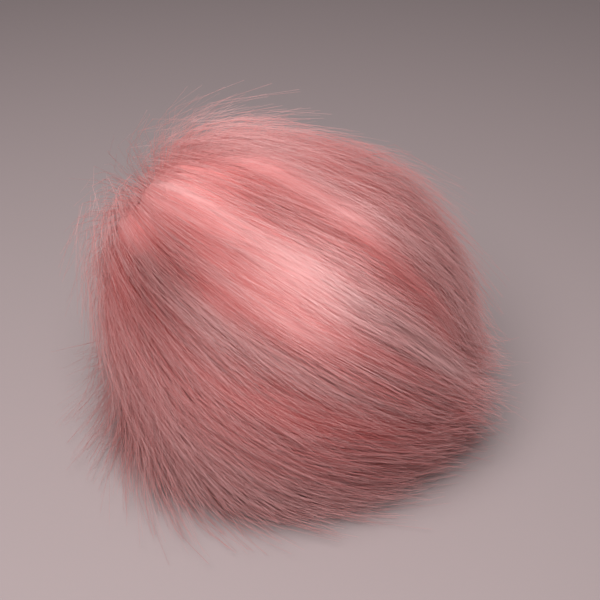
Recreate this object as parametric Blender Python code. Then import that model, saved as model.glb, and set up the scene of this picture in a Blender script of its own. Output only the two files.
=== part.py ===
"""Faux fur pom pom, lying on its own fur.

One solid: a dense ball of fur with a small flat underside, and the locks that grow
out of it. Each face of the ball's skin is narrowed into the root of one lock and drawn
out along the way the fur is combed, so every lock is fused at its root and stands apart
from its neighbours for the rest of its length.

Metres, +Z up. The origin is the middle of the flat spot that the ball rests on.
"""

import math
import random
from collections import namedtuple

import bmesh
import bpy
from mathutils import Matrix, Vector

NAME = "pom_pom"

# The dense ball that the locks grow from
BALL_RADIUS = 0.0435
CENTRE_HEIGHT = 0.0270
UNDERSIDE_DEPTH = 0.0278  # a little more than the centre's height, so the table cuts a flat spot
UNDERSIDE_SQUARENESS = 4.0  # 2 is round, more is a flatter underside with a tighter turn
SKIN_DIVISIONS = 3
SKIN_UNEVENNESS = 0.0014

# Where the ball is fuller or slimmer than round: places in degrees, rise in metres
Swell = namedtuple("Swell", "azimuth elevation spread rise")
SWELLS = (
    Swell(azimuth=152, elevation=35, spread=80, rise=0.0130),
    Swell(azimuth=9, elevation=14, spread=68, rise=-0.0035),
)

# The way the fur is combed: from the crown, round the ball, to the gather
Place = namedtuple("Place", "azimuth elevation")
CROWN_PLACE = Place(azimuth=199, elevation=44)
GATHER_PLACE = Place(azimuth=-17, elevation=-8)
GATHER_PULL = 0.9
DROOP = 0.15
CROWN_REACH = 0.15  # on a ball of radius 1: nearer than this, the fur stands up
GATHER_REACH = 0.80

# Locks
LOCK_LENGTH = 0.0390
LENGTH_SPREAD = 0.14
LIFT = 0.31  # how far a lock rises off the ball for each length along it
ROOT_GAP = 0.0033
ROOT_RISE = 0.0012
LOWEST_ROOT = 0.0030
MOST_WIDTH = 1.0  # of a lock, next to its root's
MOST_DEPTH = 0.22

# Near the table the locks lean out and settle, and turn level, nested round one turning line
TABLE_REACH = 0.0240
SPLAY = 0.46
SETTLE = 0.25
TURN_OUT = 0.0110  # of the turning line, beyond the ball
TURN_UP = 0.0140  # of the turning line, above the table
LAID_HEIGHT = 0.0010  # of the middle of the lowest laid lock
LANDING = 0.0050  # the height over which a turn begins, and over which the last fall is lost
MOST_REACH = 0.0630  # of a lock, out from the middle
REACH_SPREAD = 0.08

# Each ring of a lock fills a share of the room that its neighbours leave it there
Ring = namedtuple("Ring", "along width depth")
RINGS = (
    Ring(along=0.18, width=0.90, depth=0.94),
    Ring(along=0.38, width=0.88, depth=0.92),
    Ring(along=0.60, width=0.74, depth=0.82),
    Ring(along=0.81, width=0.48, depth=0.62),
    Ring(along=1.00, width=0.09, depth=0.18),
)
STEPS_PER_RING = 4
LENGTH_STEPS = 24
PROBE = 0.0003

ALONG_X, ALONG_Y, UP = Vector((1, 0, 0)), Vector((0, 1, 0)), Vector((0, 0, 1))
CENTRE = UP * CENTRE_HEIGHT


def toward(place):
    """The unit vector from the ball's centre to a place on it."""
    azimuth, elevation = math.radians(place.azimuth), math.radians(place.elevation)
    level = math.cos(elevation)
    return Vector((level * math.cos(azimuth), level * math.sin(azimuth), math.sin(elevation)))


CROWN, GATHER = toward(CROWN_PLACE), toward(GATHER_PLACE)
SWELL_WAYS = [toward(swell) for swell in SWELLS]


def eased(share):
    """0 to 1 for 0 to 1, with a gentle start and end."""
    share = min(max(share, 0.0), 1.0)
    return share * share * (3 - 2 * share)


def skin_share(off):
    """How far out a point is, from the centre (0) to the dense skin (1) and past it."""
    radius = BALL_RADIUS
    for swell, way in zip(SWELLS, SWELL_WAYS):
        radius += swell.rise * (1 - eased(math.degrees(off.angle(way)) / swell.spread))
    if off.z >= 0:
        return off.length / radius
    level, drop = math.hypot(off.x, off.y) / radius, -off.z / UNDERSIDE_DEPTH
    return (level**UNDERSIDE_SQUARENESS + drop**UNDERSIDE_SQUARENESS) ** (1 / UNDERSIDE_SQUARENESS)


def outward_at(point):
    """The way out of the fur at a point: square to the skin that passes through it."""
    off = point - CENTRE
    here = skin_share(off)
    slopes = [skin_share(off + axis * PROBE) - here for axis in (ALONG_X, ALONG_Y, UP)]
    return Vector(slopes).normalized()


def square_to(way, vector):
    """The part of a vector that lies square to a way."""
    return vector - way * vector.dot(way) / way.length_squared


def combing(point, outward):
    """The way the fur runs along the skin: away from the crown and in to the gather."""
    place = (point - CENTRE).normalized()
    off_crown, to_gather = place - CROWN, GATHER - place
    crown_gap, gather_gap = off_crown.length, to_gather.length
    run = square_to(place, off_crown) / max(crown_gap, PROBE) ** 2
    run += square_to(place, to_gather) * GATHER_PULL / max(gather_gap, PROBE) ** 2
    run = square_to(outward, run.normalized() - UP * DROOP).normalized()
    return run * eased(crown_gap / CROWN_REACH) * eased(gather_gap / GATHER_REACH)


def turn_at(point):
    """The angle that a falling lock has turned through: none high up, a quarter on the table."""
    short_of_line = TURN_OUT - (math.hypot(point.x, point.y) - BALL_RADIUS)
    below_line = TURN_UP - point.z
    return math.atan2(max(below_line, 0.0), max(short_of_line, 0.0)) * eased(below_line / LANDING)


def heading(point):
    """The way a lock grows at a point: combed, rising off the ball, and level at the table."""
    outward = outward_at(point)
    near = 1 - eased(point.z / TABLE_REACH)
    run = combing(point, outward) + outward * LIFT - UP * SETTLE * near
    fall, turn = max(-run.z, 0.0), turn_at(point)
    kept_fall = fall * math.cos(turn) * eased((point.z - LAID_HEIGHT) / LANDING)
    level = Vector((outward.x, outward.y, 0)).normalized()
    return run + level * (SPLAY * near + fall * math.sin(turn)) + UP * (fall - kept_fall)


def new_skin(chance):
    """The dense ball, cut flat where it rests."""
    skin = bmesh.new()
    bmesh.ops.create_icosphere(skin, subdivisions=SKIN_DIVISIONS, radius=1)
    for vertex in skin.verts:
        shift = Vector([chance.uniform(-1, 1) for _ in range(3)]) * SKIN_UNEVENNESS / BALL_RADIUS
        way = vertex.co + shift
        vertex.co = CENTRE + way / skin_share(way)
    whole = list(skin.verts) + list(skin.edges) + list(skin.faces)
    cut = bmesh.ops.bisect_plane(skin, geom=whole, plane_co=(0, 0, 0), plane_no=UP, clear_inner=True)
    rim = [edge for edge in cut["geom_cut"] if isinstance(edge, bmesh.types.BMEdge)]
    bmesh.ops.contextual_create(skin, geom=rim)
    return skin


def lock_length(root, chance):
    """Never twice the same, and ended where the lock would reach too far over the table."""
    full = LOCK_LENGTH * chance.uniform(1 - LENGTH_SPREAD, 1 + LENGTH_SPREAD)
    reach = MOST_REACH * chance.uniform(1 - REACH_SPREAD, 1)
    point, step = root, full / LENGTH_STEPS
    for count in range(LENGTH_STEPS):
        if math.hypot(point.x, point.y) > reach:
            return step * count
        point = point + heading(point) * step
    return full


def room(way, probe, most):
    """How a probe's distance has changed, square to the lock's way and never past a share."""
    square = square_to(way, probe) / PROBE
    return square * min(1.0, most / max(square.length, PROBE))


def grow_lock(skin, face, chance):
    """Draws one root face out into a lock, a ring at a time.

    Two probes start just beside and just behind the root's middle and drift with it.
    What becomes of their distances is the room that the lock has between its neighbours.
    """
    centre = face.calc_center_median()
    way = heading(centre)
    side = way.cross(face.normal).normalized()
    behind = face.normal.cross(side).normalized()
    behind *= -1 if behind.dot(way) > 0 else 1
    corners = [((v.co - centre).dot(side), (v.co - centre).dot(behind)) for v in face.verts]
    trail = [centre, centre + side * PROBE, centre + behind * PROBE]
    length, grown = lock_length(centre, chance), 0.0
    for ring in RINGS:
        step = length * (ring.along - grown) / STEPS_PER_RING
        for _ in range(STEPS_PER_RING):
            trail = [point + heading(point) * step for point in trail]
        grown = ring.along
        centre, beside, after = trail
        way = heading(centre)
        width = room(way, beside - centre, MOST_WIDTH) * ring.width
        depth = room(way, after - centre, MOST_DEPTH) * ring.depth
        face = bmesh.ops.extrude_discrete_faces(skin, faces=[face])["faces"][0]
        for vertex, (across, back) in zip(face.verts, corners):
            vertex.co = centre + width * across + depth * back
        below = -min(vertex.co.z for vertex in face.verts)
        if below > 0:  # pressed flatter, down on to the table
            bmesh.ops.scale(skin, verts=face.verts, space=Matrix.Translation(-centre),
                            vec=(1, 1, centre.z / (centre.z + below)))


def pom_pom_mesh():
    chance = random.Random(3)
    skin = new_skin(chance)
    roots = [f for f in skin.faces if min(v.co.z for v in f.verts) > LOWEST_ROOT]
    bmesh.ops.inset_individual(
        skin, faces=roots, thickness=ROOT_GAP / 2, depth=ROOT_RISE, use_even_offset=True
    )
    for root in roots:
        grow_lock(skin, root, chance)
    bmesh.ops.recalc_face_normals(skin, faces=skin.faces)
    mesh = bpy.data.meshes.new(NAME)
    skin.to_mesh(mesh)
    skin.free()
    print(len(roots), "locks")
    return mesh


def fur_material():
    material = bpy.data.materials.new("pink_faux_fur")
    material.use_nodes = True
    shader = material.node_tree.nodes["Principled BSDF"]
    shader.inputs["Base Color"].default_value = (0.74, 0.27, 0.27, 1)
    shader.inputs["Roughness"].default_value = 0.55
    shader.inputs["Metallic"].default_value = 0.0
    shader.inputs["Sheen Weight"].default_value = 0.4
    return material


def main():
    for item in list(bpy.data.objects):
        bpy.data.objects.remove(item)
    collection = bpy.data.collections.new(NAME)
    bpy.context.scene.collection.children.link(collection)
    ball = bpy.data.objects.new(NAME, pom_pom_mesh())
    ball.data.materials.append(fur_material())
    collection.objects.link(ball)


main()
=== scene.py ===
# %% [markdown]
# # A faux fur pom pom, hair by hair
# The pom pom is a ball of long pink faux fur that lies on its own fur. The solid underneath gives
# its place and size, and this script grows the hair that a person sees. Everything is in metres,
# +Z up.

# %% Load the solid that the fur is fitted to
import math

import bmesh
import bpy
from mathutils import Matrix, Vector, noise


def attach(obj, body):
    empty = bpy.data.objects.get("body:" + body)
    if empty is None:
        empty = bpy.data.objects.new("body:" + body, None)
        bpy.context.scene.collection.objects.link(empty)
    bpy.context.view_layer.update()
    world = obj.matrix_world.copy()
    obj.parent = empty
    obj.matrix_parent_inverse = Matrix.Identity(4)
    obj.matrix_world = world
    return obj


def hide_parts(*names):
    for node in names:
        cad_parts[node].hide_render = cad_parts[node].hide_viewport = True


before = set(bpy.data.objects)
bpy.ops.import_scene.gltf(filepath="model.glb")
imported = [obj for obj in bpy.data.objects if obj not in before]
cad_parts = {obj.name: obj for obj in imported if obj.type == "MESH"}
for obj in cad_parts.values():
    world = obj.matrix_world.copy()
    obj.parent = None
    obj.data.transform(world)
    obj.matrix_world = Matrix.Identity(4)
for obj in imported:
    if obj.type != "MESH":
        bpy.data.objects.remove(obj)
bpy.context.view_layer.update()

# %% [markdown]
# ## The camera
# The viewer stands over a table and looks down at the pom pom at 35 degrees, from near by, so
# the camera has a portrait lens at a little more than a quarter of a metre.

# %% Camera
CENTRE = Vector((0, 0, 0.0270))  # of the ball
LOOK_DOWN = math.radians(35)
AIM = Vector((0.0020, 0.0027, 0.0309))
DISTANCE = 0.280
LENS = 60  # millimetres
NEAREST_SEEN = 0.01
camera_data = bpy.data.cameras.new("camera")
camera_data.lens = LENS
camera_data.clip_start = NEAREST_SEEN
camera = bpy.data.objects.new("camera", camera_data)
back = Vector((0, -math.cos(LOOK_DOWN), math.sin(LOOK_DOWN)))
camera.location = AIM + back * DISTANCE
camera.rotation_euler = (-back).to_track_quat("-Z", "Y").to_euler()
bpy.context.scene.collection.objects.link(camera)
bpy.context.scene.camera = camera
print("camera:", round(camera.location.z, 3), "m above the table")

# %% [markdown]
# ## The table and the light
# A plain, slightly warm surface, and one round soft lamp above it, a little to the left and on the
# viewer's side of the pom pom, with a weak glow from all round. A curved sheet would do as well as
# this flat one, but no horizon shows from above.

# %% Table
TABLE_SIDE = 6.0
TABLE_COLOUR, TABLE_ROUGHNESS = (0.352, 0.30, 0.305, 1), 0.6
bpy.ops.mesh.primitive_plane_add(size=TABLE_SIDE)
floor = bpy.context.object
floor.name = "table_top"
floor_paint = bpy.data.materials.new("table_paint")
floor_paint.use_nodes = True
paint = floor_paint.node_tree.nodes["Principled BSDF"]
paint.inputs["Base Color"].default_value = TABLE_COLOUR
paint.inputs["Roughness"].default_value = TABLE_ROUGHNESS
floor.data.materials.append(floor_paint)
print("table:", TABLE_SIDE, "m across")

# %% Lamp and glow
LAMP_PLACE = Vector((-0.085, -0.21, 0.49))
LAMP_ACROSS, LAMP_WATTS, LAMP_COLOUR = 0.50, 4.15, (1.0, 0.94, 0.93)
GLOW_COLOUR, GLOW_STRENGTH = (0.90, 0.84, 0.86, 1), 0.17
lamp_data = bpy.data.lights.new("overhead_lamp", "AREA")
lamp_data.shape = "DISK"
lamp_data.size, lamp_data.energy, lamp_data.color = LAMP_ACROSS, LAMP_WATTS, LAMP_COLOUR
lamp = bpy.data.objects.new("overhead_lamp", lamp_data)
lamp.location = LAMP_PLACE
lamp.rotation_euler = (CENTRE - LAMP_PLACE).to_track_quat("-Z", "Y").to_euler()
bpy.context.scene.collection.objects.link(lamp)
glow = bpy.data.worlds.new("room_glow")
glow.use_nodes = True
background = glow.node_tree.nodes["Background"]
background.inputs["Color"].default_value = GLOW_COLOUR
background.inputs["Strength"].default_value = GLOW_STRENGTH
bpy.context.scene.world = glow
bpy.context.scene.view_settings.view_transform = "Standard"
print("lamp:", round((LAMP_PLACE - CENTRE).length, 2), "m from the ball")

# %% [markdown]
# ## Arithmetic with node sockets
# Hair is grown by Geometry Nodes, and the way it runs is a formula. Wiring a formula by hand
# takes a node for each plus sign, so a small class does it: a `Wire` is one node output, and
# adding, scaling or comparing wires puts the right node into the tree.

# %% A node output that can be added, scaled and compared


class Wire:
    """One output in a node tree. Arithmetic on it adds the node that works it out."""

    def __init__(self, tree, socket):
        self.tree, self.socket = tree, socket

    @property
    def is_vector(self):
        """Whether it carries a vector or a colour, not a plain number."""
        return self.socket.type in ("VECTOR", "RGBA")

    def reckon(self, operation, *others):
        """Adds a Math node, or a Vector Math node where a vector comes in."""
        vectors = self.is_vector or any(isinstance(o, Vector) for o in others)
        vectors = vectors or any(isinstance(o, Wire) and o.is_vector for o in others)
        kind = "ShaderNodeVectorMath" if vectors else "ShaderNodeMath"
        made = self.tree.nodes.new(kind)
        made.operation = operation
        ends = list(made.inputs)
        if operation == "SCALE":
            ends = [made.inputs[0], made.inputs["Scale"]]
        for end, value in zip(ends, (self, *others)):
            feed(self.tree, end, value)
        single = operation in ("LENGTH", "DOT_PRODUCT")
        return Wire(self.tree, made.outputs["Value" if single or not vectors else "Vector"])

    def __add__(self, other):
        return self.reckon("ADD", other)

    def __sub__(self, other):
        return self.reckon("SUBTRACT", other)

    def __rsub__(self, other):
        return self * -1.0 + other

    def __neg__(self):
        return self * -1.0

    def __mul__(self, other):
        by_number = not (isinstance(other, Wire) and other.is_vector)
        return self.reckon("SCALE" if self.is_vector and by_number else "MULTIPLY", other)

    def __truediv__(self, other):
        if self.is_vector:
            return self.reckon("SCALE", other**-1.0)
        return self.reckon("DIVIDE", other)

    def __rtruediv__(self, other):
        return number(self.tree, other) / self

    def __pow__(self, power):
        return self.reckon("POWER", power)

    def length(self):
        return self.reckon("LENGTH")

    def unit(self):
        return self.reckon("NORMALIZE")

    def dot(self, other):
        return self.reckon("DOT_PRODUCT", other)

    def at_least(self, other):
        return self.reckon("MAXIMUM", other)

    def at_most(self, other):
        return self.reckon("MINIMUM", other)

    def parts(self):
        """The x, y and z of a vector."""
        split = self.tree.nodes.new("ShaderNodeSeparateXYZ")
        feed(self.tree, split.inputs[0], self)
        return [Wire(self.tree, part) for part in split.outputs]

    def eased(self):
        """0 to 1 for 0 to 1, with a gentle start and end."""
        ease = self.tree.nodes.new("ShaderNodeMapRange")
        ease.interpolation_type = "SMOOTHSTEP"
        feed(self.tree, ease.inputs["Value"], self)
        return Wire(self.tree, ease.outputs["Result"])


print("a wire has:", [name for name in vars(Wire) if not name.startswith("_")])

# %% Adding nodes and feeding them


def feed(tree, end, value):
    """Feeds an input from a wire, or sets it to a plain value."""
    if isinstance(value, Wire):
        tree.links.new(value.socket, end)
    elif value is not None:
        end.default_value = value


def put(tree, kind, settings=None, **ends):
    """Adds a node and feeds the inputs named by identifier, where __ stands for a space."""
    made = tree.nodes.new(kind)
    for name, value in (settings or {}).items():
        setattr(made, name, value)
    for identifier, value in ends.items():
        wanted = identifier.replace("__", " ")
        feed(tree, next(end for end in made.inputs if end.identifier == wanted), value)
    return made


def out(tree, made, name=0):
    """One output of a node, as a wire."""
    return Wire(tree, made.outputs[name])


def constant(tree, vector):
    """A vector that is the same everywhere."""
    return out(tree, put(tree, "FunctionNodeInputVector", {"vector": vector}))


def number(tree, value):
    """A number that is the same everywhere."""
    return constant(tree, (value, 0, 0)).length()


def joined(tree, x, y, z):
    """A vector from its three parts."""
    return out(tree, put(tree, "ShaderNodeCombineXYZ", X=x, Y=y, Z=z))


def new_group(name, ends, kind="GeometryNodeTree"):
    """A node group with named inputs and outputs, and its two end nodes."""
    group = bpy.data.node_groups.new(name, kind)
    for label, in_out, carries in ends:
        group.interface.new_socket(label, in_out=in_out, socket_type="NodeSocket" + carries)
    return group, group.nodes.new("NodeGroupInput"), group.nodes.new("NodeGroupOutput")


HELPERS = (feed, put, out, constant, number, joined, new_group)
print("helpers:", [helper.__name__ for helper in HELPERS])

# %% [markdown]
# ## The shape of the dense ball
# Under the loose ends the fur is a dense ball, fuller over one shoulder and flatter underneath.
# The few numbers that shape the solid are named again here, because the hair has to lie along it.
# The solid's mesh could be asked for its nearest point instead, but its locks would get in the
# way, and a formula is smooth.

# %% How far out a point lies
BALL_RADIUS = 0.0435
UNDERSIDE_DEPTH = 0.0278
UNDERSIDE_SQUARENESS = 4.0
# azimuth and elevation of its middle and its spread in degrees, rise in metres
SWELLS = ((152, 35, 80, 0.0130), (9, 14, 68, -0.0035))


def toward(azimuth, elevation):
    """The unit vector from the ball's centre to a place on it."""
    turn, rise = math.radians(azimuth), math.radians(elevation)
    level = math.cos(rise)
    return Vector((level * math.cos(turn), level * math.sin(turn), math.sin(rise)))


def from_axis(x, y):
    """How far a point is from the upright line through the ball."""
    return (x * x + y * y).reckon("SQRT")


def skin_share(tree, off):
    """How far out a point is: 0 at the centre, 1 on the dense ball, more outside."""
    radius = number(tree, BALL_RADIUS)
    for azimuth, elevation, spread, rise in SWELLS:
        angle = off.unit().dot(toward(azimuth, elevation)).reckon("ARCCOSINE")
        radius = radius + (1.0 - (angle / math.radians(spread)).eased()) * rise
    x, y, z = off.parts()
    level = from_axis(x, y) / radius
    drop = (-z).at_least(0.0) / UNDERSIDE_DEPTH
    rounded = level**UNDERSIDE_SQUARENESS + drop**UNDERSIDE_SQUARENESS
    rounded = rounded ** (1 / UNDERSIDE_SQUARENESS)
    above = z.reckon("GREATER_THAN", 0.0)
    return above * (off.length() / radius) + (1.0 - above) * rounded


print("ball:", BALL_RADIUS * 2000, "mm across before", len(SWELLS), "swells")

# %% [markdown]
# ## The way the fur runs
# The fur is combed from a crown, where it parts, round the ball to a place where it gathers.
# Each hair also rises a little off the ball, droops under its own weight, and turns level where
# it meets the table. Curves combed by hand could say this, but a formula serves any number of
# hairs: written as one node group, `fur heading`, it says for any point in space which way a
# hair there grows. A hair is then a walk of small steps along that heading.

# %% Combed from the crown to the gather
CROWN_PLACE, GATHER_PLACE = (148, 27), (-20, -12)  # azimuth and elevation in degrees
CROWN, GATHER = toward(*CROWN_PLACE), toward(*GATHER_PLACE)
GATHER_PULL = 1.6  # beside 1 for the push away from the crown
CROWN_REACH, GATHER_REACH = 0.55, 0.80  # of the ball's radius
CROWN_PACE = 0.40  # hair runs slower along the ball at the crown, and stands more
DROOP = 0.08
UP = Vector((0, 0, 1))
PROBE = 0.0003  # a distance that is small beside the hair


def square_to(way, vector):
    """The part of a vector that lies square to a way."""
    return vector - way * vector.dot(way)


def combed(group, place, outward):
    """The way that fur is combed at a place, and how flat it is laid there, 0 at the crown."""
    off_crown, to_gather = place - CROWN, constant(group, GATHER) - place
    crown_gap = off_crown.length().at_least(PROBE)
    gather_gap = to_gather.length().at_least(PROBE)
    run = square_to(place, off_crown) / (crown_gap * crown_gap)
    run = run + square_to(place, to_gather) * GATHER_PULL / (gather_gap * gather_gap)
    run = square_to(outward, run.unit() - UP * DROOP).unit()
    laid = (crown_gap / CROWN_REACH).eased()
    pace = laid * (1 - CROWN_PACE) + CROWN_PACE
    return run * pace * (gather_gap / GATHER_REACH).eased(), laid


print("crown and gather:", round(math.degrees(CROWN.angle(GATHER))), "degrees apart")

# %% Settling on the table
TABLE_REACH = 0.0240  # below this height hair begins to feel the table
SETTLE = 0.12
SPLAY, SPLAY_EVEN, SPLAY_SIDED = 0.20, 0.7, 0.3
SPLAY_SIDE = 205  # azimuth of the side that it spreads to most, away from the gather
TURN_OUT, TURN_UP = 0.0110, 0.0140  # a line round the ball, at which falling hair turns level
LAID_HEIGHT, LANDING = 0.0010, 0.0050


def settled(group, point, run, outward):
    """A heading that sinks and spreads near the table, and turns level on it."""
    x, y, z = point.parts()
    near = 1.0 - (z / TABLE_REACH).eased()
    run = run - constant(group, UP * SETTLE) * near
    fall = (-run.parts()[2]).at_least(0.0)
    short_of_line = TURN_OUT - (from_axis(x, y) - BALL_RADIUS)
    below_line = TURN_UP - z
    turn = below_line.at_least(0.0).reckon("ARCTAN2", short_of_line.at_least(0.0))
    turn = turn * (below_line / LANDING).eased()
    kept_fall = fall * turn.reckon("COSINE") * ((z - LAID_HEIGHT) / LANDING).eased()
    out_x, out_y, _ = outward.parts()
    level = joined(group, out_x, out_y, 0.0).unit()
    spread = level.dot(toward(SPLAY_SIDE, 0)) * SPLAY_SIDED + SPLAY_EVEN
    heading = run + level * spread * (near * SPLAY + fall * turn.reckon("SINE"))
    return heading + constant(group, UP) * (fall - kept_fall)


print("table: felt below", TABLE_REACH * 1000, "mm")

# %% Heading, as a node group
ROOT_SHARE = 0.93  # the roots are a little inside the dense ball
CROWN_LIFT = 0.22  # more lift where the fur parts


def make_heading_group():
    """Which way a hair grows at a point, and how tangled the fur is there."""
    group, start, end = new_group(
        "fur heading",
        (("Position", "INPUT", "Vector"), ("Lift", "INPUT", "Float"), ("Rest", "INPUT", "Float"),
         ("Heading", "OUTPUT", "Vector"), ("Mess", "OUTPUT", "Float")))
    point, lift = out(group, start, "Position"), out(group, start, "Lift")
    off = point - CENTRE
    share = skin_share(group, off)
    axes = (Vector((1, 0, 0)), Vector((0, 1, 0)), Vector((0, 0, 1)))
    slopes = [skin_share(group, off + axis * PROBE) - share for axis in axes]
    outward = joined(group, *slopes).unit()
    run, laid = combed(group, off.unit(), outward)
    # a hair lifts until it has risen to the height at which it rests
    height = off.length() * (1.0 - ROOT_SHARE / share)
    risen = (height / out(group, start, "Rest")).eased()
    lift = (lift + (1.0 - laid) * CROWN_LIFT) * (1.0 - risen)
    heading = settled(group, point, run + outward * lift, outward)
    feed(group, end.inputs["Heading"], heading)
    feed(group, end.inputs["Mess"], 1.0 - laid)
    return group


HEADING = make_heading_group()
print("fur heading:", len(HEADING.nodes), "nodes")

# %% [markdown]
# ## One walk for all hairs
# `grow` starts from a root point for each hair, copies it once for each joint of the hair, and
# then lets the copies walk: the first copy stays, the last one walks the whole way, and the
# others stop in between. It is used twice, for the few guide hairs that lead a lock and for the
# many that follow them. Every random draw has a seed of its own, so no two of them go together.

# %% Values for each hair
# guides and hairs take four seeds each: for length, lift, limit and rest
SEEDS = {
    "guides": 11, "own way": 15, "hairs": 21, "firmness": 31, "bend": 41, "lie": 51,
    "own tone": 61, "lock tone": 62,
}


def random_number(tree, low, high, seed, who=None):
    """A number for each hair, the same at all its joints."""
    made = put(tree, "FunctionNodeRandomValue", {"data_type": "FLOAT"},
               Min_001=low, Max_001=high, ID=who, Seed=seed)
    return out(tree, made, 1)  # output 0 is for vectors


def random_way(tree, seed, who=None):
    """A vector for each hair, -1 to 1 each way."""
    made = put(tree, "FunctionNodeRandomValue", {"data_type": "FLOAT_VECTOR"},
               Min=(-1, -1, -1), Max=(1, 1, 1), ID=who, Seed=seed)
    return out(tree, made)


def named(tree, name, kind="FLOAT"):
    """The value that each point holds under a name."""
    made = put(tree, "GeometryNodeInputNamedAttribute", {"data_type": kind}, Name=name)
    return out(tree, made, "Attribute")


def keep(tree, geometry, name, value, kind="FLOAT"):
    """Stores a value at each point under a name."""
    made = put(tree, "GeometryNodeStoreNamedAttribute", {"data_type": kind, "domain": "POINT"},
               Geometry=geometry, Name=name, Value=value)
    return out(tree, made)


def position(tree):
    """Where each point is."""
    return out(tree, put(tree, "GeometryNodeInputPosition"))


print("random draws:", list(SEEDS))

# %% Growing points along the heading
STEPS = 20
SLOWING, SLOWED = 0.012, 0.92  # the last stretch of a hair's reach, and how much it slows there
WANDER_SCALE = 55.0
MESS_SWAY = 1.2  # how far tangled hair wanders, beside the stray of laid hair
CROWN_MESS = 0.40  # how far tangled hair goes its own way


def stride(tree, here, heading, stray):
    """One step of a hair, by the heading and by how far the hair wanders from it."""
    wander = put(tree, "ShaderNodeTexNoise", {"noise_dimensions": "3D"},
                 Vector=here, Scale=WANDER_SCALE, Detail=1.0)
    sway = out(tree, wander, "Color") - Vector((0.5, 0.5, 0.5))
    mess = out(tree, heading, "Mess")
    own_way = random_way(tree, SEEDS["own way"], named(tree, "hair", "INT")) * mess * CROWN_MESS
    way = out(tree, heading, "Heading") + sway * (mess * MESS_SWAY + stray) + own_way
    step = way * (named(tree, "reach") / STEPS)
    # near the table a hair slows down and ends before it reaches too far out
    x, y, z = here.parts()
    far = ((from_axis(x, y) - named(tree, "limit")) / SLOWING + 1.0).eased()
    return step * (1.0 - far * (1.0 - (z / TABLE_REACH).eased()) * SLOWED)


def grow(tree, points, joints, length, lift, rest, limit, stray):
    """Copies each root for its joints and walks the copies along the heading."""
    points = keep(tree, points, "hair", out(tree, put(tree, "GeometryNodeInputIndex")), "INT")
    for name, value in (("reach", length), ("lift", lift), ("rest", rest), ("limit", limit)):
        points = keep(tree, points, name, value)
    copies = put(tree, "GeometryNodeDuplicateElements", {"domain": "POINT"},
                 Geometry=points, Amount=joints)
    joint = out(tree, copies, "Duplicate Index")
    points = keep(tree, out(tree, copies, "Geometry"), "joint", joint, "INT")
    start = put(tree, "GeometryNodeRepeatInput")
    end = put(tree, "GeometryNodeRepeatOutput")
    start.pair_with_output(end)
    feed(tree, start.inputs["Iterations"], STEPS)
    feed(tree, start.inputs["Geometry"], points)
    here = position(tree)
    heading = put(tree, "GeometryNodeGroup", {"node_tree": HEADING})
    feed(tree, heading.inputs["Position"], here)
    feed(tree, heading.inputs["Lift"], named(tree, "lift"))
    feed(tree, heading.inputs["Rest"], named(tree, "rest"))
    steps_to_walk = named(tree, "joint") * STEPS / (joints - 1.0)
    walking = steps_to_walk.reckon("GREATER_THAN", out(tree, start, "Iteration") + 0.5)
    stepped = put(tree, "GeometryNodeSetPosition", Geometry=out(tree, start, "Geometry"),
                  Selection=walking, Offset=stride(tree, here, heading, stray))
    feed(tree, end.inputs["Geometry"], out(tree, stepped))
    return out(tree, end, "Geometry")


print("a hair grows in", STEPS, "steps")

# %% [markdown]
# ## Locks, loose hairs and their tips
# Fur isn't even. Every hair finds its nearest guide hair and leans towards it, more and more to
# the tip, which is how fur falls into locks, and each hair bends its own way as well. Clumping a
# particle system would give locks too, but here the same few wires serve every pass.

# %% Hairs that gather, bend and lie
FIRMNESS = (0.35, 1.0)  # how firmly a lock holds its hairs, least and most
BEND_POWER = 1.6  # the bend is most at the tip
LIE_HEIGHTS = (0.0003, 0.0012)  # no hair lies lower than its own height between these


def moved(tree, hairs, **to):
    """Hairs whose joints are moved by an Offset, or to a Position."""
    return out(tree, put(tree, "GeometryNodeSetPosition", Geometry=hairs, **to))


def gathered(tree, hairs, guides, joints, gather):
    """Hairs that lean towards the guide hair of their lock."""
    joint, lock = named(tree, "joint"), named(tree, "lock", "INT")
    where = put(tree, "GeometryNodeSampleIndex", {"data_type": "FLOAT_VECTOR", "domain": "POINT"},
                Geometry=guides, Value=position(tree), Index=lock * joints + joint)
    firmness = random_number(tree, *FIRMNESS, SEEDS["firmness"], lock) * gather
    share = (joint / (joints - 1.0)).eased() * firmness
    return moved(tree, hairs, Offset=(out(tree, where) - position(tree)) * share)


def bent(tree, hairs, along, bend):
    """Hairs that each bend their own way."""
    own_bend = random_way(tree, SEEDS["bend"], named(tree, "hair", "INT"))
    return moved(tree, hairs, Offset=own_bend * along**BEND_POWER * bend)


def above_table(tree, hairs):
    """Hairs that never go through the table."""
    x, y, z = position(tree).parts()
    lowest = random_number(tree, *LIE_HEIGHTS, SEEDS["lie"], named(tree, "hair", "INT"))
    return moved(tree, hairs, Position=joined(tree, x, y, z.at_least(lowest)))


print("lowest hairs:", [round(height * 1000, 1) for height in LIE_HEIGHTS], "mm up")

# %% [markdown]
# ## From joints to tubes
# The joints of a hair become a curve, and the curve a tube with three sides that thins to its
# tip. Even the thickest hair is under a sixth of a millimetre across, so a rounder tube would
# never show. Blender's own hair curves would render as well, but they leave no closed mesh.

# %% Tones and tubes
TIP_SHARPNESS, TIP_THINNING = 3.0, 0.90
LEAST_WIDTH, WIDTH_SPREAD = 0.75, 0.5  # shares of the thickness
WORKING_VALUES = ("reach", "lift", "rest", "limit", "joint", "hair", "lock", "rise", "flow")


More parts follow.
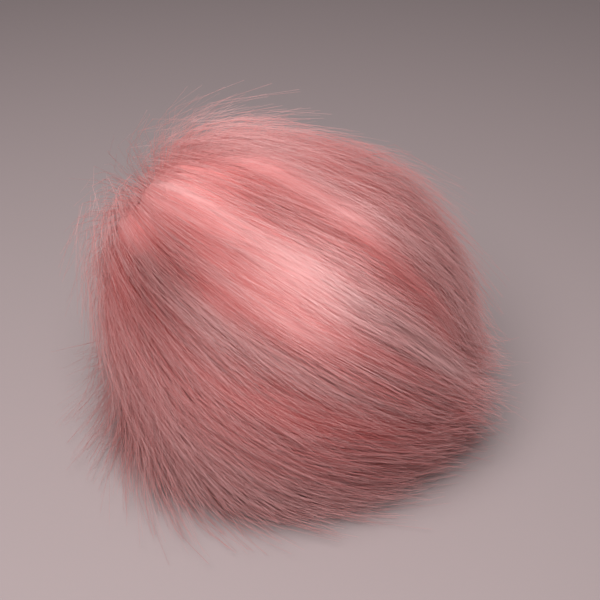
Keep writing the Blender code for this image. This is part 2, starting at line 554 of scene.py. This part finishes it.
def toned(tree, hairs, skin, along):
    """Hairs whose joints hold what the finish reads: how far along, which hair, which lock, and the
    painted light and shade.
    """
    # painted light and shade, deeper or paler by where the hair lies, not by where it is rooted
    tone = put(tree, "GeometryNodeSampleNearestSurface", {"data_type": "FLOAT"},
               Mesh=skin, Value=named(tree, "painted_light_and_shade"), Sample__Position=position(tree))
    hair, lock = named(tree, "hair", "INT"), named(tree, "lock", "INT")
    hairs = keep(tree, hairs, "painted_light_and_shade", out(tree, tone))
    hairs = keep(tree, hairs, "along", along)
    hairs = keep(tree, hairs, "own_tone", random_number(tree, 0.0, 1.0, SEEDS["own tone"], hair))
    return keep(tree, hairs, "lock_tone", random_number(tree, 0.0, 1.0, SEEDS["lock tone"], lock))


def tubes(tree, hairs, along, thickness):
    """A tapering three-sided tube for each hair, closed at both ends."""
    curves = out(tree, put(tree, "GeometryNodePointsToCurves", Points=hairs,
                           Curve__Group__ID=named(tree, "hair", "INT"), Weight=named(tree, "joint")))
    for name in WORKING_VALUES:
        curves = out(tree, put(tree, "GeometryNodeRemoveAttribute", Geometry=curves, Name=name))
    ring = put(tree, "GeometryNodeCurvePrimitiveCircle", {"mode": "RADIUS"},
               Resolution=3, Radius=0.5)
    thin = 1.0 - along**TIP_SHARPNESS * TIP_THINNING
    thin = thin * (named(tree, "own_tone") * WIDTH_SPREAD + LEAST_WIDTH)
    return out(tree, put(tree, "GeometryNodeCurveToMesh", Curve=curves,
                         Profile__Curve=out(tree, ring), Scale=thin * thickness, Fill__Caps=True))


print("working values taken off again:", len(WORKING_VALUES))

# %% [markdown]
# ## The fur as one Geometry Nodes tree
# The steps above are strung together: roots scattered over the ball, guide hairs, hairs, locks,
# bends, tones, tubes. One tree with named inputs makes every pass of the coat, from the dense
# locks to the haze.

# %% The fur tree
RISE_REST = 0.025  # metres higher that hair rests where the coat rises by 1
LEAST_REST = 0.002
GUIDE_LIMITS = (0.86, 1.0)  # of the reach
HAIR_LIMIT, LIMIT_SPREAD, LIMIT_POWER = 0.74, 0.34, 1.8  # few hairs reach far past the others
STREAK_SCALE, STREAK_DETAIL = 9.0, 3.0
FUR_NUMBERS = (
    "Hairs for each square metre", "Locks for each square metre", "Length", "Length spread",
    "Least lift", "Most lift", "Least rest", "Most rest", "Reach", "Thickness", "Gather",
    "Stray", "Bend",
)


def streaks(tree, flow, scale):
    """Noise that is drawn out along the combed fur."""
    made = put(tree, "ShaderNodeTexNoise", {"noise_dimensions": "3D"},
               Vector=flow, Scale=scale, Detail=STREAK_DETAIL)
    return out(tree, made, "Fac")


def roots(tree, given, density, shift):
    """Points scattered over the ball."""
    made = put(tree, "GeometryNodeDistributePointsOnFaces", {"distribute_method": "RANDOM"},
               Mesh=given["Geometry"], Density=given[density], Seed=given["Seed"] + shift)
    return out(tree, made, "Points")


def own_values(tree, given, seed):
    """Each hair's length, lift and rest, by draws with this seed and the next ones."""

    def drawn(kind, draw):
        span = given["Most " + kind] - given["Least " + kind]
        return span * random_number(tree, 0.0, 1.0, seed + draw)

    rise = named(tree, "rise")
    length = random_number(tree, -1.0, 1.0, seed) * given["Length spread"] + 1.0
    lift = given["Least lift"] + rise + drawn("lift", 1)
    rest = (given["Least rest"] + rise * RISE_REST).at_least(LEAST_REST) + drawn("rest", 3)
    return given["Length"] * length, lift, rest


def make_fur_tree():
    """Grows hair on a ball, from roots to a mesh."""
    tree, start, end = new_group(
        "pom pom fur",
        (("Geometry", "INPUT", "Geometry"), ("Geometry", "OUTPUT", "Geometry"),
         *((label, "INPUT", "Float") for label in FUR_NUMBERS),
         ("Seed", "INPUT", "Int"), ("Joints", "INPUT", "Int"), ("Fur", "INPUT", "Material")))
    given = {socket.name: Wire(tree, socket) for socket in start.outputs if socket.name}
    skin, joints = given["Geometry"], given["Joints"]
    # guide hairs that lead the locks
    guides = roots(tree, given, "Locks for each square metre", 1)
    limit = given["Reach"] * random_number(tree, *GUIDE_LIMITS, SEEDS["guides"] + 2)
    grown_guides = grow(tree, guides, joints, *own_values(tree, given, SEEDS["guides"]),
                        limit, given["Stray"])
    # hairs, each in the lock of its nearest guide hair
    hairs = roots(tree, given, "Hairs for each square metre", 2)
    nearest = put(tree, "GeometryNodeSampleNearest", {"domain": "POINT"}, Geometry=guides)
    hairs = keep(tree, hairs, "lock", out(tree, nearest), "INT")
    flow = named(tree, "flow", "FLOAT_VECTOR")
    hairs = keep(tree, hairs, "streak", streaks(tree, flow, STREAK_SCALE))
    far = random_number(tree, 0.0, 1.0, SEEDS["hairs"] + 2) ** LIMIT_POWER
    hairs = grow(tree, hairs, joints, *own_values(tree, given, SEEDS["hairs"]),
                 given["Reach"] * (far * LIMIT_SPREAD + HAIR_LIMIT), given["Stray"])
    hairs = gathered(tree, hairs, grown_guides, joints, given["Gather"])
    along = named(tree, "joint") / (joints - 1.0)
    hairs = above_table(tree, bent(tree, hairs, along, given["Bend"]))
    hairs = toned(tree, hairs, skin, along)
    mesh = tubes(tree, hairs, along, given["Thickness"])
    mesh = out(tree, put(tree, "GeometryNodeSetShadeSmooth", {"domain": "FACE"}, Geometry=mesh))
    mesh = out(tree, put(tree, "GeometryNodeRealizeInstances", Geometry=mesh))
    mesh = out(tree, put(tree, "GeometryNodeSetMaterial", Geometry=mesh, Material=given["Fur"]))
    feed(tree, end.inputs["Geometry"], mesh)
    return tree


FUR_TREE = make_fur_tree()
print("fur tree:", len(FUR_TREE.nodes), "nodes")

# %% [markdown]
# ## The colour of the fur
# Faux fur is dyed acrylic: coral towards the root, paler pink at the tip, never the same from
# one lock to the next, and streaked with paler and deeper bands along the combed way. Where it
# lies thick the light bounces from hair to hair and comes out redder, which the renderer works
# out by itself from a light enough colour. A painted picture could hold the bands, but it would
# blur on hair this thin, so each hair holds a few numbers instead. One shader node group turns
# them into colour for both finishes, so that the hairs and the pile between them go together,
# and it also makes each place paler or deeper by the light and shade painted there.

# %% Colour by depth and by place
GREYER = 0.7  # how much colour a place loses where painted light makes it paler


def blend(group, share, first, second):
    """One colour running into another as a share goes from 0 to 1."""
    made = put(group, "ShaderNodeMix", {"data_type": "RGBA"},
               Factor_Float=share.at_most(1.0).at_least(0.0), A_Color=first, B_Color=second)
    return out(group, made, 2)  # outputs 0 and 1 are for numbers and vectors


def make_colour_group():
    """Colour of fur: coral within, pink without, and darker or lighter by the light and shade
    painted at each place.
    """
    group, start, end = new_group(
        "fur colour",
        (("Depth", "INPUT", "Float"), ("Shift", "INPUT", "Float"), ("Shade", "INPUT", "Float"),
         ("Within", "INPUT", "Color"), ("Middle", "INPUT", "Color"), ("Without", "INPUT", "Color"),
         ("Colour", "OUTPUT", "Color")), "ShaderNodeTree")
    place = (out(group, start, "Depth") + out(group, start, "Shift")) * 2.0
    colour = blend(group, place, out(group, start, "Within"), out(group, start, "Middle"))
    colour = blend(group, place - 1.0, colour, out(group, start, "Without"))
    # the Shade input carries the painted light and shade: paler and greyer above 0, deeper below
    shade = out(group, start, "Shade")
    shaded = put(group, "ShaderNodeHueSaturation", Value=shade + 1.0,
                 Saturation=1.0 - shade * GREYER, Color=colour)
    feed(group, end.inputs["Colour"], out(group, shaded, "Color"))
    return group


FUR_COLOUR = make_colour_group()
print("fur colour:", len(FUR_COLOUR.nodes), "nodes")

# %% Steps that both finishes share


def new_finish(name, **surface):
    """A material with a Principled BSDF that is set as said, its node tree and its shader."""
    finish = bpy.data.materials.new(name)
    finish.use_nodes = True
    shader = finish.node_tree.nodes["Principled BSDF"]
    for label, value in surface.items():
        shader.inputs[label.replace("_", " ")].default_value = value
    return finish, finish.node_tree, shader


def read(tree, label, output="Fac"):
    """The value that a piece holds under a name."""
    return out(tree, put(tree, "ShaderNodeAttribute", {"attribute_name": label}), output)


def colour_in(tree, shader, depth, shift, colours):
    """Gives a shader the colour of fur at a depth, with the light and shade painted at its place."""
    mixed = put(tree, "ShaderNodeGroup", {"node_tree": FUR_COLOUR})
    feed(tree, mixed.inputs["Depth"], depth)
    feed(tree, mixed.inputs["Shift"], shift)
    feed(tree, mixed.inputs["Shade"], read(tree, "painted_light_and_shade"))
    for label, colour in zip(("Within", "Middle", "Without"), colours):
        feed(tree, mixed.inputs[label], (*colour, 1))
    feed(tree, shader.inputs["Base Color"], out(tree, mixed, "Colour"))


print("a finish reads: along, lock_tone, own_tone, streak, painted_light_and_shade, flow")

# %% [markdown]
# ## The finish of the hairs
# Acrylic hair is smooth but soft in the mass, so the highlight is broad and weak, and a touch of
# sheen stands for the light that real fibres, far finer than these, scatter at their edges.
# Letting light into the hair would be closer to the fibre, but it turns such thick hair grey.

# %% Finish of the hairs
HAIR_COLOURS = ((0.76, 0.245, 0.235), (0.785, 0.35, 0.345), (0.85, 0.525, 0.52))
LOCK_VARIES, HAIR_VARIES, STREAK_VARIES = 0.10, 0.14, 2.0
SHEEN_TINT = (1.0, 0.80, 0.79, 1)


def fur_finish(name, colours):
    """A finish for hairs: three colours along each hair, shifted by lock, by hair and by streak."""
    finish, tree, shader = new_finish(name, Roughness=0.5, Specular_IOR_Level=0.35,
                                      Sheen_Weight=0.25, Sheen_Roughness=0.5,
                                      Sheen_Tint=SHEEN_TINT)
    shift = (read(tree, "lock_tone") - 0.5) * LOCK_VARIES
    shift = shift + (read(tree, "own_tone") - 0.5) * HAIR_VARIES
    shift = shift + (read(tree, "streak") - 0.5) * STREAK_VARIES
    colour_in(tree, shader, read(tree, "along"), shift, colours)
    return finish


FUR = fur_finish("pink_faux_fur", HAIR_COLOURS)
print("finish of the hairs:", FUR.name)

# %% [markdown]
# ## The finish of the pile
# Between the hairs shows the dense pile: more hair, too fine and too deep to tell apart. It is a
# plain surface here, so fine streaks along the combed way stand for its hairs, in colour and in
# a shallow relief, and the same broad streaks as on the hairs run on underneath them.

# %% Finish of the pile
PILE_COLOURS = ((0.69, 0.24, 0.23), (0.76, 0.34, 0.335), (0.82, 0.46, 0.455))
FINE_SCALE, MEAN_DEPTH = 70.0, 0.45
RELIEF_STRENGTH, RELIEF_DEPTH = 0.25, 0.0010


def pile_finish(name, colours):
    """A finish for the dense pile: fine streaks that follow the combed fur, and their relief."""
    finish, tree, shader = new_finish(name, Roughness=0.7, Specular_IOR_Level=0.3)
    flow = read(tree, "flow", "Vector")
    fine = streaks(tree, flow, FINE_SCALE)
    broad = (streaks(tree, flow, STREAK_SCALE) - 0.5) * STREAK_VARIES
    colour_in(tree, shader, fine - 0.5 + MEAN_DEPTH, broad, colours)
    relief = put(tree, "ShaderNodeBump",
                 Strength=RELIEF_STRENGTH, Distance=RELIEF_DEPTH, Height=fine)
    feed(tree, shader.inputs["Normal"], out(tree, relief, "Normal"))
    return finish


PILE = pile_finish("pink_pile", PILE_COLOURS)
print("finish of the pile:", PILE.name)

# %% [markdown]
# ## Where the coat rises, and where light and shade are painted
# A pom pom that has been handled isn't even: the coat is pressed in at one place and tufted up at
# another. Light and shade are painted into its colour too: a painted highlight where the lamp
# lights the shoulder, and painted shade in the hollow, on the side away from the lamp and all round.
# Painting this on a mesh by hand would do, but then nothing could be read or changed. So each such
# place is a row: where on the ball, how wide, and how much, easing out to nothing at its edge.

# %% Places on the ball
# azimuth, elevation and spread in degrees, extra lift for the whole coat
RISES = (
    (217, 34, 22, -0.12),  # the hollow beside the crown
    (215, 56, 26, 0.03),  # the fold of fur above it
    (168, 18, 26, -0.24),  # flatter under the crown
    (125, 55, 38, -0.36),  # and at the back of the top
    (-25, 0, 40, 0.10),  # fuller low on the right
)
# the same, for the hairs alone
WISPS = (
    (80, 60, 26, 0.12),  # on top
    (153, 38, 26, 0.14),  # round the crown
    (215, 0, 35, 0.25),  # along the table on the left
    (-30, -10, 45, 0.30),  # and on the right
)
# azimuth, elevation and spread in degrees, painted light (paler) or painted shade (deeper)
PAINTED_LIGHT_PLACES = (
    (214, 37, 29, -0.24),  # painted shade deep in the hollow
    (242, 13, 25, 0.07),  # painted light below it
    (282, 28, 20, 0.10),  # and painted light below the shoulder
    (158, 54, 48, 0.32),  # painted light above the crown
    (282, 47, 26, 0.30),  # painted highlight on the shoulder
    (265, 50, 80, 0.20),  # and painted light a little all round it
    (-41, 60, 15, 0.22),  # a painted highlight on a lock behind it
    (287, 66, 20, 0.06),  # and painted light between the two
    (105, 8, 100, 0.18),  # less painted shade at the back
    (-15, 42, 60, -0.16),  # painted shade on the right, away from the lamp
    (-35, 5, 35, 0.16),  # but less painted shade low down
)
# painted shade over the whole ball, which the rows above take off where the lamp's light falls
PAINTED_SHADE_BASE = -0.35


def nearness(way, azimuth, elevation, spread):
    """1 in the middle of a place on the ball, easing to 0 at its edge."""
    share = min(math.degrees(way.angle(toward(azimuth, elevation))) / spread, 1.0)
    return 1.0 - share * share * (3 - 2 * share)


def summed(way, places):
    """What all the places together add at a point."""
    return sum(extra * nearness(way, *place) for *place, extra in places)


print("places:", len(RISES), "rises,", len(WISPS), "wisps and", len(PAINTED_LIGHT_PLACES), "tones")

# %% [markdown]
# ## The dense ball
# Between the hairs one never sees through to the table: there is always more fur. A closed ball
# of dense pile stands for it, so that fewer hairs are needed. The hairs are rooted in it: their
# roots lie on a ball of the same make, a few millimetres further in. Both get small tufts, from
# a noise that is drawn out along the combed way.

# %% Round the ball and along the comb
TUFT_LIFT, TUFT_SCALE = 0.21, (4.0, 4.0, 14.0)
FLOW_STRETCH, FLOW_TURN = 0.10, math.radians(-27)


def flow_place(way):
    """Where a point lies in the combed fur: round the line from crown to gather, and along it."""
    line = GATHER - CROWN
    middle = (GATHER + CROWN) / 2
    side = middle.normalized()
    off = way - middle
    turn = math.atan2(off.dot(line.normalized().cross(side)), off.dot(side)) + FLOW_TURN
    along = (way - CROWN).dot(line) / line.length_squared
    return math.cos(turn), math.sin(turn), along * FLOW_STRETCH


def tuft(way):
    """How much a tuft lifts the coat at a point."""
    place = [part * scale for part, scale in zip(flow_place(way), TUFT_SCALE)]
    return noise.noise(Vector(place)) * TUFT_LIFT


def plain_skin_share(off):
    """The same rule as skin_share, for one point."""
    radius = BALL_RADIUS
    for *place, rise in SWELLS:
        radius += rise * nearness(off, *place)
    if off.z >= 0:
        return off.length / radius
    level, drop = math.hypot(off.x, off.y) / radius, -off.z / UNDERSIDE_DEPTH
    rounded = level**UNDERSIDE_SQUARENESS + drop**UNDERSIDE_SQUARENESS
    return rounded ** (1 / UNDERSIDE_SQUARENESS)


print("skin over the crown:", round(1000 / plain_skin_share(CROWN), 1), "mm from the centre")

# %% Dense ball mesh
PILE_DEPTH = 0.0058  # the pile stands this far out from the roots
PARTING_SPREAD, PARTING = 45, 0.7  # and less by this share where the fur parts, at the crown
LOWEST = 0.0016  # the flat underside's height
FINENESS = 5


def ball_mesh(name, depth):
    """A closed ball some depth outside the roots, further where the fur rises, flat underneath."""
    ball = bmesh.new()
    bmesh.ops.create_icosphere(ball, subdivisions=FINENESS, radius=1)
    ways = [vertex.co.normalized() for vertex in ball.verts]
    rises = [summed(way, RISES) + tuft(way) for way in ways]
    for vertex, way, rise in zip(ball.verts, ways, rises):
        parting = nearness(way, *CROWN_PLACE, PARTING_SPREAD) * PARTING
        more = depth * (1 - parting) + rise * RISE_REST if depth else 0.0
        vertex.co = CENTRE + way * (ROOT_SHARE / plain_skin_share(way) + more)
        vertex.co.z = max(vertex.co.z, LOWEST)
    for face in ball.faces:
        face.smooth = True
    mesh = bpy.data.meshes.new(name)
    ball.to_mesh(mesh)
    ball.free()
    # the rise of the coat, and the painted light and shade that the finishes read
    values = {
        "rise": [rise + summed(way, WISPS) for way, rise in zip(ways, rises)],
        "painted_light_and_shade": [PAINTED_SHADE_BASE + summed(way, PAINTED_LIGHT_PLACES) for way in ways],
    }
    for label, numbers in values.items():
        mesh.attributes.new(label, "FLOAT", "POINT").data.foreach_set("value", numbers)
    flow = mesh.attributes.new("flow", "FLOAT_VECTOR", "POINT")
    for at, way in enumerate(ways):
        flow.data[at].vector = flow_place(way)
    return mesh


roots_ball = ball_mesh("roots", 0.0)
underfur = bpy.data.objects.new("underfur", ball_mesh("underfur", PILE_DEPTH))
underfur.data.materials.append(PILE)
bpy.context.scene.collection.objects.link(underfur)
print("underfur:", len(underfur.data.polygons), "faces")

# %% [markdown]
# ## Growing the coat
# Real fur has thick and thin hair in layers. So the coat is grown in several passes, each its own
# piece: three of combed locks, from thick hair to thin, a few long guard hairs that stand clear,
# and two of fine fuzz that soften the outline. One denser pass would cost as much and look combed
# by a machine. Each pass stays under 200,000 triangles.

# %% The passes
SQUARE_CENTIMETRE = 1e-4
# hairs and locks for each square centimetre, length and its spread, least and most lift,
# least and most rest in millimetres, reach over the table, thickness in millimetres,
# gather, stray, bend in millimetres, joints, seed
PASSES = {
    "fur_locks_first": (
        44, 6.0, 0.042, 0.20, 0.30, 0.50, 6.4, 8, 0.062, 0.125, 0.03, 0.12, 0.6, 4, 20),
    "fur_locks_second": (
        44, 3.0, 0.044, 0.20, 0.30, 0.50, 6.6, 9, 0.063, 0.090, 0.04, 0.14, 0.7, 4, 30),
    "fur_locks_third": (
        40, 1.5, 0.044, 0.22, 0.30, 0.55, 7, 11, 0.065, 0.075, 0.06, 0.20, 1.0, 4, 40),
    "fur_guard_hairs": (
        24, 9.0, 0.046, 0.26, 0.35, 0.60, 9, 18, 0.069, 0.060, 0.03, 0.50, 1.8, 4, 50),
    "fur_fuzz_first": (
        48, 9.0, 0.032, 0.35, 0.45, 0.90, 11, 22, 0.072, 0.054, 0.00, 0.45, 3.0, 3, 60),
    "fur_fuzz_second": (
        44, 9.0, 0.034, 0.35, 0.55, 1.10, 12, 24, 0.076, 0.048, 0.00, 0.60, 4.0, 3, 70),
}
print("passes:", list(PASSES))

# %% Grow the passes


def fur_inputs(row):
    """The fur tree's inputs for one pass, in its own units."""
    values = dict(zip((*FUR_NUMBERS, "Joints", "Seed"), row))
    for label in ("Hairs for each square metre", "Locks for each square metre"):
        values[label] /= SQUARE_CENTIMETRE
    for label in ("Least rest", "Most rest", "Thickness", "Bend"):
        values[label] /= 1000
    return {**values, "Fur": FUR}


def grow_fur(name, row):
    """Runs the fur tree on the ball of roots and returns the hair as a plain mesh."""
    host = bpy.data.objects.new(name + "_host", roots_ball)
    bpy.context.scene.collection.objects.link(host)
    modifier = host.modifiers.new("fur", "NODES")
    modifier.node_group = FUR_TREE
    values = fur_inputs(row)
    for item in FUR_TREE.interface.items_tree:
        if item.in_out == "INPUT" and item.name in values:
            modifier[item.identifier] = values[item.name]
    graph = bpy.context.evaluated_depsgraph_get()
    mesh = bpy.data.meshes.new_from_object(host.evaluated_get(graph), depsgraph=graph,
                                           preserve_all_data_layers=True)
    bpy.data.objects.remove(host)
    mesh.name = name
    piece = bpy.data.objects.new(name, mesh)
    bpy.context.scene.collection.objects.link(piece)
    print(name, sum(len(face.vertices) - 2 for face in mesh.polygons), "triangles")
    return piece


coat = [grow_fur(name, row) for name, row in PASSES.items()]
bpy.data.meshes.remove(roots_ball)

# %% [markdown]
# ## Handing over
# Each piece moves with the root body and has its finish, and the solid that the fur stands for is
# hidden.

for piece in (underfur, *coat):
    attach(piece, "root")
    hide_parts("pom_pom")
print("pieces:", len(coat) + 1)
